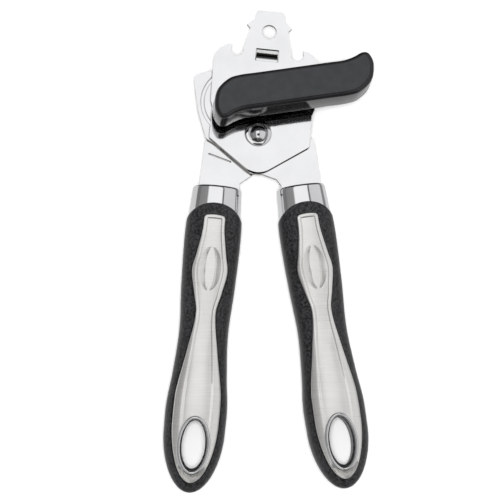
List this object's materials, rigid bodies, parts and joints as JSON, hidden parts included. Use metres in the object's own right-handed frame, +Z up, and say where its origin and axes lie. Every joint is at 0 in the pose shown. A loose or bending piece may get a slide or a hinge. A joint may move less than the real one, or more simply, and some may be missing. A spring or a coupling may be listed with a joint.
{
  "type": "manual can opener",
  "caption": "Hand can opener with soft grips, steel inlays, a turning knob, geared cutter and feed wheels, and a flat head with bottle notches.",
  "frame": {"origin": "on the surface it lies on, under the middle of the whole opener, handles half open", "axes": "+Y from the handles towards the flat head, +X to the right seen from the knob side, +Z up out of the knob"},
  "size_m": [0.0874, 0.2064, 0.0332],
  "materials": {
    "chrome_plate": "bright chrome on flat sheet steel",
    "chrome_trim": "bright chrome",
    "machined_steel": "turned steel",
    "gear_steel": "stamped hardened steel",
    "inlay_steel": "brushed stainless steel",
    "grip_rubber": "soft-touch matte",
    "core_nylon": "moulded nylon",
    "knob_plastic": "gloss walls with a satin face"
  },
  "bodies": {
    "left_lever": {"front_plate": "chrome_plate", "left_arm": "chrome_plate", "plate_spacers": "chrome_trim", "spindle_bushing": "machined_steel", "pivot_rivet": "chrome_trim", "pivot_washer": "chrome_trim", "left_ferrule": "chrome_trim", "left_core": "core_nylon", "left_tang_pins": "machined_steel", "left_grip": "grip_rubber", "left_inlay": "inlay_steel"},
    "right_lever": {"right_arm": "chrome_plate", "cutter_stud": "machined_steel", "cutter_spacer": "machined_steel", "right_ferrule": "chrome_trim", "right_core": "core_nylon", "right_tang_pins": "machined_steel", "right_grip": "grip_rubber", "right_inlay": "inlay_steel"},
    "spindle": {"turn_knob": "knob_plastic", "drive_shaft": "machined_steel", "drive_gear": "gear_steel", "feed_wheel": "gear_steel", "thrust_washer": "machined_steel"},
    "cutter": {"cutter_wheel": "gear_steel", "cutter_gear": "gear_steel", "cutter_bush": "machined_steel"}
  },
  "joints": [
    {"name": "handle_pivot", "type": "hinge", "parent": "left_lever", "child": "right_lever", "pos_m": [-0.00453, 0.04845, 0.0135], "axis": [0, 0, 1], "range_deg": [-13.2, 25]},
    {"name": "knob_spin", "type": "hinge", "parent": "left_lever", "child": "spindle", "pos_m": [0.00968, 0.06485, 0.01], "axis": [0, 0, 1], "continuous": true},
    {"name": "cutter_spin", "type": "hinge", "parent": "right_lever", "child": "cutter", "pos_m": [-0.01402, 0.06244, 0.005], "axis": [0, 0, 1], "continuous": true}
  ],
  "couplings": [
    {"joint": "cutter_spin", "follows": "knob_spin", "ratio": -1}
  ]
}
